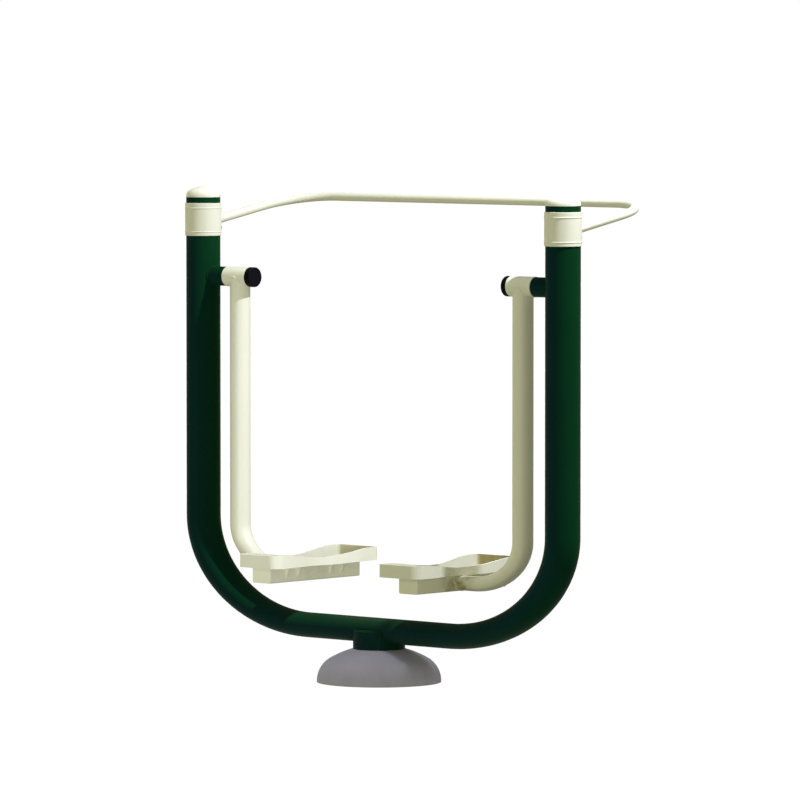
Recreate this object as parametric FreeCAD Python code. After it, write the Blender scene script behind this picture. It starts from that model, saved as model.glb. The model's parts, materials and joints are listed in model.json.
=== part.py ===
import FreeCAD, Part
import math
import os

# Outdoor air walker: a bent tube frame on a bolted foot, a handrail behind it,
# and two foot trays that swing on legs hung from the posts.
# Millimetres. Z is up from the ground, X runs from the left post to the right one,
# and the user faces +Y, where the handrail is. The origin is on the ground, at the
# centre of the anchor bolt circle.

V = FreeCAD.Vector
X_AXIS = V(1, 0, 0)
Y_AXIS = V(0, 1, 0)
Z_AXIS = V(0, 0, 1)

# Frame tube: two posts, two bends and a ground run, formed from one tube that is
# round in the posts and pressed flatter towards the ground run
POST_SPACING = 1230.0
POST_OD = 89.0
POST_WALL = 4.0
POST_TOP_Z = 1224.0
RUN_HEIGHT = 64.0
RUN_AXIS_Z = 131.0
FRAME_BEND_HEIGHT = 268.0

# Foot under the ground run
NECK_OD = 133.0
NECK_WALL = 6.0
NECK_LEDGE = 4.0
FLANGE_OD = 280.0
FLANGE_THICK = 12.0
ANCHOR_EDGE = 30.0
ANCHOR_HOLE = 18.0
ANCHOR_COUNT = 6
GUSSET_THICK = 8.0
GUSSET_RISE = 46.0
GUSSET_TOE = 8.0
GUSSET_EDGE = 12.0

# Dome cover over the foot, in two halves
COVER_REACH = 18.6
COVER_HEIGHT = 91.0
COVER_WALL = 4.0
COVER_LIP = 3.0
COVER_GAP = 0.5
COVER_SPLIT = 0.4

# Collar and cap at the top of each post
COLLAR_DROP = 15.0
COLLAR_HEIGHT = 85.0
COLLAR_WALL = 2.6
COLLAR_EDGE = 0.8
BEAD_RISE = 0.9
BEAD_WIDTH = 4.0
BEAD_FROM_TOP = 13.5
BEAD_FROM_BOTTOM = 10.0
CAP_RISE = 28.0
CAP_FLAT = 2.0
CAP_SPIGOT = 24.0
CAP_SPIGOT_WALL = 3.0
CAP_SHELL = 3.0

# Button head screws that hold a collar, either side of the handrail arm
COLLAR_SCREW_ANGLE = 24.0
COLLAR_SCREW_DROP = 79.0
SCREW_SHANK = 8.0
SCREW_HEAD = 14.0
SCREW_HEAD_RISE = 4.4
SCREW_REACH = 9.0
SCREW_SOCKET = 5.0
SCREW_SOCKET_DEPTH = 2.4

# Handrail: one bent tube from the back of one collar to the other
RAIL_OD = 22.0
RAIL_WALL = 2.0
RAIL_DROP = 61.5
RAIL_SLOPE = 10.3
RAIL_BACK_Y = 362.0
RAIL_BEND = 136.0

# Swing pivot inside each post
PIVOT_DROP = 204.0
HUB_OD = 51.6
HUB_SEAT = 42.0
HUB_SHOULDER = 38.0
HUB_FROM_POST = 168.0
HUB_LENGTH = 79.0
STUB_OD = 50.0
STUB_GAP = 2.0
AXLE_ROOT = 26.0
AXLE_EMBED = 36.0
AXLE_THREAD = 16.0
AXLE_THREAD_LENGTH = 16.0
SEAL_WIDTH = 5.0
SEAL_GAP = 0.3
STOP_WIDTH = 13.0
STOP_GAP = 0.5
STOP_KEY_ANGLE = 36.0
STOP_KEY_CLEAR = 0.5
STOP_RING_CLEAR = 1.0
SWING_LIMIT = 50.0
SWING_MARGIN = 0.5

# Ball bearing, two in each hub
BEARING_BORE = 20.0
BEARING_OD = 42.0
BEARING_WIDTH = 12.0
BEARING_SPACING = 35.0
BALL_DIAMETER = 6.35
BALL_COUNT = 9
BALL_GAP = 0.05
RACE_BORE_WALL = 3.4
SPACER_WALL = 3.0
WASHER_OD = 30.0
WASHER_THICK = 3.0
NUT_FLATS = 24.0
NUT_HEIGHT = 8.0

# Black plug that closes the inner end of the hub
PLUG_PROUD = 16.0
PLUG_FACE = 3.0
PLUG_SPIGOT = 7.0
PLUG_SPIGOT_WALL = 2.2
PLUG_EDGE = 2.0

# Leg tube: vertical, then bent in to the side of the foot beam, and pressed flatter
# towards the beam in the same way as the frame tube
LEG_FROM_POST = 131.0
LEG_OD = 53.0
LEG_WALL = 3.0
LEG_RUN_HEIGHT = 38.0
LEG_RUN_CLEAR = 0.5
LEG_BEND_HEIGHT = 113.0

# Foot beam under the tray
BEAM_FROM_POST = 364.0
BEAM_WIDTH = 62.0
BEAM_HEIGHT = 43.0
BEAM_BOTTOM_Z = 248.0
BEAM_LENGTH = 338.0
BEAM_WALL = 3.0
BEAM_CORNER = 5.0
BEAM_PLUG_FACE = 4.0
BEAM_PLUG_DEPTH = 14.0
BEAM_PLUG_WALL = 2.5

# Foot tray, the same casting on both sides
TRAY_FROM_POST = 375.0
TRAY_LENGTH = 378.0
TRAY_WALL = 4.5
TRAY_FLOOR = 4.0
TRAY_HEEL_LEFT = 72.0
TRAY_HEEL_RIGHT = 58.0
TRAY_WAIST_LEFT = 63.0
TRAY_WAIST_RIGHT = 47.0
TRAY_BALL_LEFT = 68.0
TRAY_BALL_RIGHT = 73.0
TRAY_TOE_LEFT = 71.0
TRAY_TOE_RIGHT = 69.0
TRAY_WAIST_Y = -18.0
TRAY_BALL_Y = 105.0
TRAY_HEEL_CORNER_LEFT = 8.0
TRAY_HEEL_CORNER_RIGHT = 28.0
TRAY_TOE_CORNER = 12.0
RIM_HEEL = 30.0
RIM_ARCH = 17.0
RIM_TOE = 34.0
RIM_ARCH_Y = 12.0
RIM_LEVEL = 52.0
TRAY_SKIRT = 3.4
SKIRT_ARCH_Y = 15.0
SKIRT_TOE_Y = 110.0
TREAD_COUNT = 11
TREAD_PITCH = 28.0
TREAD_WIDTH = 5.0
TREAD_RISE = 1.5
TREAD_LENGTH = 64.0
RIB_PLACES = (-108.0, -65.0, 56.0, 99.0)
RIB_THICK = 8.0
RIB_DEPTH = 13.0
RIB_HEIGHT = 30.0
RIB_FOOT = 2.0
RIB_ROUND = 1.5

# Countersunk screws that hold the tray to the beam, with rivet nuts in the beam
TRAY_SCREW_PLACES = (-140.0, -42.0, 42.0, 140.0)
TRAY_SCREW = 8.0
TRAY_SCREW_HEAD = 15.0
TRAY_SCREW_LENGTH = 16.0
RIVET_NUT_OD = 11.0
RIVET_NUT_LENGTH = 12.0

# Heights and places that follow from the sizes above
POST_X = POST_SPACING / 2
POST_RADIUS = POST_OD / 2
FRAME_FLATTENING = RUN_HEIGHT / POST_OD
LEG_FLATTENING = LEG_RUN_HEIGHT / LEG_OD
ANCHOR_CIRCLE = FLANGE_OD - 2 * ANCHOR_EDGE
COVER_OD = FLANGE_OD + 2 * COVER_REACH
COLLAR_TOP_Z = POST_TOP_Z - COLLAR_DROP
COLLAR_BOTTOM_Z = COLLAR_TOP_Z - COLLAR_HEIGHT
COLLAR_SCREW_Z = POST_TOP_Z - COLLAR_SCREW_DROP
RAIL_START_Z = POST_TOP_Z - RAIL_DROP
PIVOT_Z = POST_TOP_Z - PIVOT_DROP
HUB_INNER_X = POST_X - HUB_FROM_POST
LEG_X = POST_X - LEG_FROM_POST
BEAM_X = POST_X - BEAM_FROM_POST
TRAY_X = POST_X - TRAY_FROM_POST
COLLAR_RADIUS = POST_RADIUS + COLLAR_WALL
HUB_OUTER_X = HUB_INNER_X + HUB_LENGTH
STUB_INNER_X = HUB_OUTER_X + STUB_GAP
STOP_OUTER_X = HUB_OUTER_X - SEAL_WIDTH
STOP_INNER_X = STOP_OUTER_X - STOP_WIDTH
BEARING_OUTER_X = STOP_INNER_X - BEARING_WIDTH
BEARING_INNER_X = BEARING_OUTER_X - BEARING_SPACING
BEARING_PLACES = (BEARING_INNER_X, BEARING_OUTER_X)
NUT_OUTER_X = BEARING_INNER_X - WASHER_THICK
BALL_PITCH_RADIUS = (BEARING_BORE + BEARING_OD) / 4
BEAM_TOP_Z = BEAM_BOTTOM_Z + BEAM_HEIGHT
FLANGE_TOP_Z = FLANGE_THICK
LEDGE_Z = RUN_AXIS_Z - NECK_LEDGE
LEG_RUN_AXIS_Z = BEAM_TOP_Z - TRAY_SKIRT - LEG_RUN_CLEAR - LEG_RUN_HEIGHT / 2


def mirrored(shape):
    """The same shape on the other side of the YZ plane."""
    return shape.mirror(V(0, 0, 0), X_AXIS)


def ring(outer, inner, length, start, direction):
    """A straight tube between two radii, along a direction."""
    body = Part.makeCylinder(outer, length, start, direction)
    return body.cut(Part.makeCylinder(inner, length, start, direction))


def sweep(path, start, direction, radius):
    """A round bar of this radius along a path of lines and arcs."""
    circle = Part.Wire(Part.makeCircle(radius, start, direction))
    return path.makePipeShell([circle], True, False)


def arc_edge(centre, radius, angle_from, angle_to, across, up):
    """An arc edge in the plane of two unit vectors, angles in degrees."""
    def point(angle):
        turn = math.radians(angle)
        return centre + across * (radius * math.cos(turn)) + up * (radius * math.sin(turn))
    middle = (angle_from + angle_to) / 2
    return Part.Arc(point(angle_from), point(middle), point(angle_to)).toShape()


def widened(shape, flattening):
    """Spread a tube made to its flattened height out to its full width."""
    spread = FreeCAD.Matrix()
    spread.scale(1 / flattening, 1 / flattening, 1)
    return shape.transformGeometry(spread)


def frame_bar(radius):
    """The solid bar of the frame tube's outline, for a radius in the posts."""
    half = POST_X * FRAME_FLATTENING
    bend_z = RUN_AXIS_Z + FRAME_BEND_HEIGHT
    start = V(-half, 0, POST_TOP_Z)
    left = V(-half + FRAME_BEND_HEIGHT, 0, bend_z)
    right = V(half - FRAME_BEND_HEIGHT, 0, bend_z)
    run = V(0, 0, -FRAME_BEND_HEIGHT)
    edges = [
        Part.makeLine(start, V(-half, 0, bend_z)),
        arc_edge(left, FRAME_BEND_HEIGHT, 180, 270, X_AXIS, Z_AXIS),
        Part.makeLine(left + run, right + run),
        arc_edge(right, FRAME_BEND_HEIGHT, 270, 360, X_AXIS, Z_AXIS),
        Part.makeLine(V(half, 0, bend_z), V(half, 0, POST_TOP_Z)),
    ]
    bar = sweep(Part.Wire(edges), start, Z_AXIS, radius * FRAME_FLATTENING)
    return widened(bar, FRAME_FLATTENING)


def collar_screw_places():
    """Position and outward direction of each collar screw on the right post."""
    places = []
    for side in (-1, 1):
        angle = math.radians(90 + side * COLLAR_SCREW_ANGLE)
        outward = V(math.cos(angle), math.sin(angle), 0)
        places.append((V(POST_X, 0, COLLAR_SCREW_Z) + outward * COLLAR_RADIUS, outward))
    return places


def collar_screw_holes():
    """Bores through the collar and the post wall for the right collar's screws."""
    bores = []
    for seat, outward in collar_screw_places():
        start = seat + outward * SCREW_HEAD_RISE
        bores.append(Part.makeCylinder(SCREW_SHANK / 2, SCREW_REACH + SCREW_HEAD_RISE, start, -outward))
    return bores


def u_frame():
    tube = frame_bar(POST_RADIUS).cut(frame_bar(POST_RADIUS - POST_WALL))
    for bore in collar_screw_holes():
        tube = tube.cut(bore).cut(mirrored(bore))
    return tube


def base_neck(frame_outline):
    """Pipe under the ground run, coped to it up to half its height."""
    pipe = ring(NECK_OD / 2, NECK_OD / 2 - NECK_WALL, LEDGE_Z - FLANGE_TOP_Z, V(0, 0, FLANGE_TOP_Z), Z_AXIS)
    return pipe.cut(frame_outline)


def neck_ledges(frame_outline):
    """Flat plates that close the top of the neck on both sides of the tube."""
    plate = Part.makeCylinder(NECK_OD / 2, NECK_LEDGE, V(0, 0, LEDGE_Z))
    return plate.cut(frame_outline)


def base_flange():
    plate = Part.makeCylinder(FLANGE_OD / 2, FLANGE_THICK)
    for index in range(ANCHOR_COUNT):
        turn = 2 * math.pi * (index + 0.5) / ANCHOR_COUNT
        centre = V(math.cos(turn), math.sin(turn), 0) * (ANCHOR_CIRCLE / 2)
        plate = plate.cut(Part.makeCylinder(ANCHOR_HOLE / 2, FLANGE_THICK, centre))
    return plate


def base_gussets():
    """Triangular plates between the neck and the flange, between the bolts."""
    inner = NECK_OD / 2
    outer = FLANGE_OD / 2 - GUSSET_EDGE
    outline = Part.makePolygon([
        V(inner - NECK_WALL / 2, 0, FLANGE_TOP_Z),
        V(outer, 0, FLANGE_TOP_Z),
        V(outer, 0, FLANGE_TOP_Z + GUSSET_TOE),
        V(inner, 0, FLANGE_TOP_Z + GUSSET_RISE),
        V(inner - NECK_WALL / 2, 0, FLANGE_TOP_Z + GUSSET_RISE),
        V(inner - NECK_WALL / 2, 0, FLANGE_TOP_Z),
    ])
    plate = Part.Face(outline).extrude(V(0, GUSSET_THICK, 0))
    plate.translate(V(0, -GUSSET_THICK / 2, 0))
    plate = plate.cut(Part.makeCylinder(inner, POST_TOP_Z))
    plates = []
    for index in range(ANCHOR_COUNT):
        turned = plate.copy()
        turned.rotate(V(0, 0, 0), Z_AXIS, 360.0 * index / ANCHOR_COUNT)
        plates.append(turned)
    return Part.makeCompound(plates)


def dome(radius, height, base_z):
    """A flattened dome of two tangent arcs, on a short cylinder from z = 0."""
    diagonal = math.hypot(radius, height)
    spread = (radius - height) * diagonal
    corner_radius = (diagonal ** 2 - spread) / (2 * radius)
    crown_radius = (diagonal ** 2 + spread) / (2 * height)
    corner_centre = V(radius - corner_radius, 0, base_z)
    crown_centre = V(0, 0, base_z + height - crown_radius)
    slope = corner_centre - crown_centre
    meet = math.degrees(math.atan2(slope.z, slope.x))
    edges = [
        Part.makeLine(V(0, 0, 0), V(radius, 0, 0)),
        Part.makeLine(V(radius, 0, 0), V(radius, 0, base_z)),
        arc_edge(corner_centre, corner_radius, 0, meet, X_AXIS, Z_AXIS),
        arc_edge(crown_centre, crown_radius, meet, 90, X_AXIS, Z_AXIS),
        Part.makeLine(V(0, 0, base_z + height), V(0, 0, 0)),
    ]
    return Part.Face(Part.Wire(edges)).revolve(V(0, 0, 0), Z_AXIS, 360)


def base_cover_halves():
    """Dome shell round the neck, parted along the ground run."""
    shell = dome(COVER_OD / 2, COVER_HEIGHT, COVER_LIP)
    shell = shell.cut(dome(COVER_OD / 2 - COVER_WALL, COVER_HEIGHT - COVER_WALL, COVER_LIP))
    shell = shell.cut(Part.makeCylinder(NECK_OD / 2 + COVER_GAP, 2 * COVER_HEIGHT))
    half = Part.makeBox(2 * COVER_OD, COVER_OD, 2 * COVER_HEIGHT, V(-COVER_OD, COVER_SPLIT / 2, 0))
    rear = shell.common(half)
    return rear.mirror(V(0, 0, 0), Y_AXIS), rear


def collar():
    """Sleeve round the top of the right post, with two rolled beads."""
    r_in = POST_RADIUS
    r_out = COLLAR_RADIUS
    z0 = COLLAR_BOTTOM_Z
    z1 = COLLAR_TOP_Z

    def bead(z):
        half = BEAD_WIDTH / 2
        curve = Part.Arc(V(r_out, 0, z - half), V(r_out + BEAD_RISE, 0, z), V(r_out, 0, z + half))
        return V(r_out, 0, z - half), V(r_out, 0, z + half), curve.toShape()

    low_from, low_to, low_arc = bead(z0 + BEAD_FROM_BOTTOM)
    high_from, high_to, high_arc = bead(z1 - BEAD_FROM_TOP)
    corners = [V(r_in, 0, z0), V(r_out - COLLAR_EDGE, 0, z0), V(r_out, 0, z0 + COLLAR_EDGE)]
    tops = [V(r_out, 0, z1 - COLLAR_EDGE), V(r_out - COLLAR_EDGE, 0, z1), V(r_in, 0, z1)]
    edges = [
        Part.makeLine(corners[0], corners[1]),
        Part.makeLine(corners[1], corners[2]),
        Part.makeLine(corners[2], low_from),
        low_arc,
        Part.makeLine(low_to, high_from),
        high_arc,
        Part.makeLine(high_to, tops[0]),
        Part.makeLine(tops[0], tops[1]),
        Part.makeLine(tops[1], tops[2]),
        Part.makeLine(tops[2], corners[0]),
    ]
    sleeve = Part.Face(Part.Wire(edges)).revolve(V(0, 0, 0), Z_AXIS, 360)
    sleeve.translate(V(POST_X, 0, 0))
    for bore in collar_screw_holes():
        sleeve = sleeve.cut(bore)
    return sleeve


def collar_screws():
    screws = []
    for seat, outward in collar_screw_places():
        shank = Part.makeCylinder(SCREW_SHANK / 2, SCREW_REACH, seat, -outward)
        head = dome(SCREW_HEAD / 2, SCREW_HEAD_RISE - COLLAR_EDGE, COLLAR_EDGE)
        head.Placement = FreeCAD.Placement(seat, FreeCAD.Rotation(Z_AXIS, outward))
        socket = hexagon_bar(SCREW_SOCKET, SCREW_SOCKET_DEPTH)
        top = seat + outward * (SCREW_HEAD_RISE - SCREW_SOCKET_DEPTH)
        socket.Placement = FreeCAD.Placement(top, FreeCAD.Rotation(Z_AXIS, outward))
        collar_body = Part.makeCylinder(COLLAR_RADIUS, COLLAR_HEIGHT, V(POST_X, 0, COLLAR_BOTTOM_Z))
        screws.append(head.cut(socket).cut(collar_body).fuse(shank).removeSplitter())
    return Part.makeCompound(screws)


def hexagon_bar(flats, length):
    """A hexagonal bar up from the origin along Z."""
    radius = flats / math.sqrt(3)
    corners = []
    for index in range(7):
        turn = math.radians(60 * index)
        corners.append(V(radius * math.cos(turn), radius * math.sin(turn), 0))
    return Part.Face(Part.makePolygon(corners)).extrude(V(0, 0, length))


def post_cap():
    """Dome cap with a hollow spigot that plugs the right post."""
    head = dome(POST_RADIUS, CAP_RISE - CAP_FLAT, CAP_FLAT)
    inside = POST_RADIUS - POST_WALL - CAP_SPIGOT_WALL
    head = head.cut(dome(inside, CAP_RISE - CAP_FLAT - CAP_SHELL, CAP_FLAT))
    spigot = ring(POST_RADIUS - POST_WALL, inside, CAP_SPIGOT, V(0, 0, -CAP_SPIGOT), Z_AXIS)
    cap = head.fuse(spigot).removeSplitter()
    cap.translate(V(POST_X, 0, POST_TOP_Z))
    return cap


def handrail():
    """Bent tube in one plane that climbs to the rear, ended on the collars."""
    slope = math.radians(RAIL_SLOPE)
    along = V(0, math.cos(slope), math.sin(slope))
    start_z = RAIL_START_Z - POST_RADIUS * math.tan(slope)
    reach = RAIL_BACK_Y / math.cos(slope)
    left = V(-POST_X, 0, start_z)
    right = V(POST_X, 0, start_z)
    corner_left = left + along * (reach - RAIL_BEND) + X_AXIS * RAIL_BEND
    corner_right = right + along * (reach - RAIL_BEND) - X_AXIS * RAIL_BEND
    edges = [
        Part.makeLine(left, left + along * (reach - RAIL_BEND)),
        arc_edge(corner_left, RAIL_BEND, 180, 90, X_AXIS, along),
        Part.makeLine(corner_left + along * RAIL_BEND, corner_right + along * RAIL_BEND),
        arc_edge(corner_right, RAIL_BEND, 90, 0, X_AXIS, along),
        Part.makeLine(right + along * (reach - RAIL_BEND), right),
    ]
    path = Part.Wire(edges)
    outer = sweep(path, left, along, RAIL_OD / 2)
    tube = outer.cut(sweep(path, left, along, RAIL_OD / 2 - RAIL_WALL))
    for x in (-POST_X, POST_X):
        sleeve = Part.makeCylinder(COLLAR_RADIUS, COLLAR_HEIGHT, V(x, 0, COLLAR_BOTTOM_Z))
        tube = tube.cut(sleeve)
    return tube


def pivot_stub():
    """Boss welded to the right post, bored for the axle."""
    stub = ring(STUB_OD / 2, AXLE_ROOT / 2, POST_X - STUB_INNER_X, V(STUB_INNER_X, 0, PIVOT_Z), X_AXIS)
    return stub.cut(Part.makeCylinder(POST_RADIUS, POST_TOP_Z, V(POST_X, 0, 0)))


def pivot_axle():
    """Stepped axle: root in the stub, bearing seat, then the nut's thread."""
    root = Part.makeCylinder(AXLE_ROOT / 2, STUB_INNER_X + AXLE_EMBED - STOP_INNER_X,
                             V(STOP_INNER_X, 0, PIVOT_Z), X_AXIS)
    seat = Part.makeCylinder(BEARING_BORE / 2, STOP_INNER_X - BEARING_INNER_X,
                             V(BEARING_INNER_X, 0, PIVOT_Z), X_AXIS)
    thread = Part.makeCylinder(AXLE_THREAD / 2, AXLE_THREAD_LENGTH,
                               V(BEARING_INNER_X - AXLE_THREAD_LENGTH, 0, PIVOT_Z), X_AXIS)
    return root.fuse(seat).fuse(thread).removeSplitter()


def hub():
    """Tube with a bearing seat at each end and a shoulder between them."""
    body = Part.makeCylinder(HUB_OD / 2, HUB_LENGTH, V(HUB_INNER_X, 0, PIVOT_Z), X_AXIS)
    body = body.cut(Part.makeCylinder(HUB_SHOULDER / 2, HUB_LENGTH, V(HUB_INNER_X, 0, PIVOT_Z), X_AXIS))
    inner_seat = BEARING_INNER_X + BEARING_WIDTH - HUB_INNER_X
    body = body.cut(Part.makeCylinder(HUB_SEAT / 2, inner_seat, V(HUB_INNER_X, 0, PIVOT_Z), X_AXIS))
    outer_seat = HUB_OUTER_X - BEARING_OUTER_X
    return body.cut(Part.makeCylinder(HUB_SEAT / 2, outer_seat, V(BEARING_OUTER_X, 0, PIVOT_Z), X_AXIS))


def race_groove(x):
    """The ring that the balls run in, with the balls' running gap."""
    radius = BALL_DIAMETER / 2 + BALL_GAP
    return Part.makeTorus(BALL_PITCH_RADIUS, radius, V(x + BEARING_WIDTH / 2, 0, PIVOT_Z), X_AXIS)


def bearing_outer_rings():
    rings = []
    for x in BEARING_PLACES:
        body = ring(BEARING_OD / 2, BEARING_OD / 2 - RACE_BORE_WALL, BEARING_WIDTH, V(x, 0, PIVOT_Z), X_AXIS)
        rings.append(body.cut(race_groove(x)))
    return Part.makeCompound(rings)


def bearing_inner_rings():
    rings = []
    for x in BEARING_PLACES:
        body = ring(BEARING_BORE / 2 + RACE_BORE_WALL, BEARING_BORE / 2, BEARING_WIDTH,
                    V(x, 0, PIVOT_Z), X_AXIS)
        rings.append(body.cut(race_groove(x)))
    return Part.makeCompound(rings)


def bearing_balls():
    balls = []
    for x in BEARING_PLACES:
        for index in range(BALL_COUNT):
            turn = 2 * math.pi * index / BALL_COUNT
            centre = V(x + BEARING_WIDTH / 2, BALL_PITCH_RADIUS * math.cos(turn),
                       PIVOT_Z + BALL_PITCH_RADIUS * math.sin(turn))
            balls.append(Part.makeSphere(BALL_DIAMETER / 2, centre))
    return Part.makeCompound(balls)


def bearing_spacer():
    """Sleeve on the axle between the two inner rings."""
    start = BEARING_INNER_X + BEARING_WIDTH
    return ring(BEARING_BORE / 2 + SPACER_WALL, BEARING_BORE / 2, BEARING_OUTER_X - start,
                V(start, 0, PIVOT_Z), X_AXIS)


def axle_washer():
    return ring(WASHER_OD / 2, AXLE_THREAD / 2, WASHER_THICK, V(NUT_OUTER_X, 0, PIVOT_Z), X_AXIS)


def axle_nut():
    nut = hexagon_bar(NUT_FLATS, NUT_HEIGHT)
    nut = nut.cut(Part.makeCylinder(AXLE_THREAD / 2, NUT_HEIGHT))
    nut.Placement = FreeCAD.Placement(V(NUT_OUTER_X - NUT_HEIGHT, 0, PIVOT_Z),
                                      FreeCAD.Rotation(Z_AXIS, X_AXIS))
    return nut


def dust_seal():
    """Ring in the mouth of the hub, just clear of the axle."""
    return ring(HUB_SEAT / 2, AXLE_ROOT / 2 + SEAL_GAP, SEAL_WIDTH, V(STOP_OUTER_X, 0, PIVOT_Z), X_AXIS)


def stop_sector(outer, inner, angle, middle):
    """Part of a ring in the stop space, its middle at an angle above +Y."""
    x0 = STOP_INNER_X + STOP_GAP
    x1 = STOP_OUTER_X - STOP_GAP
    outline = Part.makePolygon([V(x0, inner, 0), V(x0, outer, 0), V(x1, outer, 0), V(x1, inner, 0),
                                V(x0, inner, 0)])
    body = Part.Face(outline).revolve(V(0, 0, 0), X_AXIS, angle)
    body.rotate(V(0, 0, 0), X_AXIS, middle - angle / 2)
    body.translate(V(0, 0, PIVOT_Z))
    return body


def stop_key():
    """Key on the axle that the ring in the hub meets at the end of the swing."""
    return stop_sector(HUB_SEAT / 2 - STOP_KEY_CLEAR, AXLE_ROOT / 2, STOP_KEY_ANGLE, 90)


def stop_ring():
    """Open ring in the hub: its gap leaves the key the swing on both sides."""
    opening = STOP_KEY_ANGLE + 2 * (SWING_LIMIT + SWING_MARGIN)
    return stop_sector(HUB_SEAT / 2, AXLE_ROOT / 2 + STOP_RING_CLEAR, 360 - opening, 270)


def hub_plug():
    """Black plug: a cup with its spigot in the hub, hollow over the axle nut."""
    face_x = HUB_INNER_X - PLUG_PROUD
    body = Part.makeCylinder(HUB_OD / 2, PLUG_PROUD, V(face_x, 0, PIVOT_Z), X_AXIS)
    front = [edge for edge in body.Edges if abs(edge.BoundBox.XMax - face_x) < 0.01]
    body = body.makeFillet(PLUG_EDGE, front)
    cavity = Part.makeCylinder(HUB_SEAT / 2 - PLUG_SPIGOT_WALL, PLUG_PROUD - PLUG_FACE,
                               V(face_x + PLUG_FACE, 0, PIVOT_Z), X_AXIS)
    spigot = ring(HUB_SEAT / 2, HUB_SEAT / 2 - PLUG_SPIGOT_WALL, PLUG_SPIGOT,
                  V(HUB_INNER_X, 0, PIVOT_Z), X_AXIS)
    return body.cut(cavity).fuse(spigot).removeSplitter()


def leg_bar(radius):
    """The solid bar of the leg's outline, for a radius in its upright part."""
    out = LEG_X * LEG_FLATTENING
    end = (BEAM_X + BEAM_WIDTH / 2 - BEAM_CORNER) * LEG_FLATTENING
    bend_z = LEG_RUN_AXIS_Z + LEG_BEND_HEIGHT
    top = V(out, 0, PIVOT_Z)
    centre = V(out - LEG_BEND_HEIGHT, 0, bend_z)
    edges = [
        Part.makeLine(top, V(out, 0, bend_z)),
        arc_edge(centre, LEG_BEND_HEIGHT, 0, -90, X_AXIS, Z_AXIS),
        Part.makeLine(V(out - LEG_BEND_HEIGHT, 0, LEG_RUN_AXIS_Z), V(end, 0, LEG_RUN_AXIS_Z)),
    ]
    bar = sweep(Part.Wire(edges), top, Z_AXIS, radius * LEG_FLATTENING)
    return widened(bar, LEG_FLATTENING)


def leg_tube():
    """Leg from the underside of the hub to the foot beam, coped to fit both."""
    tube = leg_bar(LEG_OD / 2).cut(leg_bar(LEG_OD / 2 - LEG_WALL))
    tube = tube.cut(Part.makeCylinder(HUB_OD / 2, 2 * POST_X, V(0, 0, PIVOT_Z), X_AXIS))
    return tube.cut(rounded_bar(BEAM_WIDTH, BEAM_HEIGHT, BEAM_CORNER, BEAM_LENGTH,
                                -BEAM_LENGTH / 2, BEAM_BOTTOM_Z))


def rounded_bar(width, height, corner, length, start_y, bottom_z):
    """A bar along Y with rounded corners, centred on the foot beam."""
    bar = Part.makeBox(width, length, height, V(BEAM_X - width / 2, start_y, bottom_z))
    if corner <= 0:
        return bar
    long_edges = [edge for edge in bar.Edges if edge.BoundBox.YLength > length / 2]
    return bar.makeFillet(corner, long_edges)


def pedal_beam():
    length = BEAM_LENGTH - 2 * BEAM_PLUG_FACE
    outer = rounded_bar(BEAM_WIDTH, BEAM_HEIGHT, BEAM_CORNER, length, -length / 2, BEAM_BOTTOM_Z)
    inner = rounded_bar(BEAM_WIDTH - 2 * BEAM_WALL, BEAM_HEIGHT - 2 * BEAM_WALL, BEAM_CORNER - BEAM_WALL,
                        length, -length / 2, BEAM_BOTTOM_Z + BEAM_WALL)
    beam = outer.cut(inner)
    for y in TRAY_SCREW_PLACES:
        beam = beam.cut(Part.makeCylinder(RIVET_NUT_OD / 2, BEAM_WALL, V(BEAM_X, y, BEAM_TOP_Z - BEAM_WALL)))
    return beam


def beam_end_plugs():
    """Caps in both ends of the beam, flush with its outline."""
    face = rounded_bar(BEAM_WIDTH, BEAM_HEIGHT, BEAM_CORNER, BEAM_PLUG_FACE,
                       -BEAM_LENGTH / 2, BEAM_BOTTOM_Z)
    depth = BEAM_PLUG_DEPTH - BEAM_PLUG_FACE
    start = -BEAM_LENGTH / 2 + BEAM_PLUG_FACE
    spigot = rounded_bar(BEAM_WIDTH - 2 * BEAM_WALL, BEAM_HEIGHT - 2 * BEAM_WALL, BEAM_CORNER - BEAM_WALL,
                         depth, start, BEAM_BOTTOM_Z + BEAM_WALL)
    inset = BEAM_WALL + BEAM_PLUG_WALL
    hollow = rounded_bar(BEAM_WIDTH - 2 * inset, BEAM_HEIGHT - 2 * inset, 0, depth, start,
                         BEAM_BOTTOM_Z + inset)
    plug = face.fuse(spigot.cut(hollow)).removeSplitter()
    return Part.makeCompound([plug, plug.mirror(V(0, 0, 0), Y_AXIS)])


def tray_side(inset, corner, heel, waist, ball, toe, sign):
    """One side of the tray's outline, from the heel corner to the toe corner."""
    half = TRAY_LENGTH / 2
    points = [
        V(sign * (heel - inset), -half + corner, 0),
        V(sign * (waist - inset), TRAY_WAIST_Y, 0),
        V(sign * (ball - inset), TRAY_BALL_Y, 0),
        V(sign * (toe - inset), half - TRAY_TOE_CORNER, 0),
    ]
    side = Part.BSplineCurve()
    side.interpolate(points, InitialTangent=V(0, 1, 0), FinalTangent=V(0, 1, 0))
    return side.toShape(), points[0], points[-1]


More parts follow.
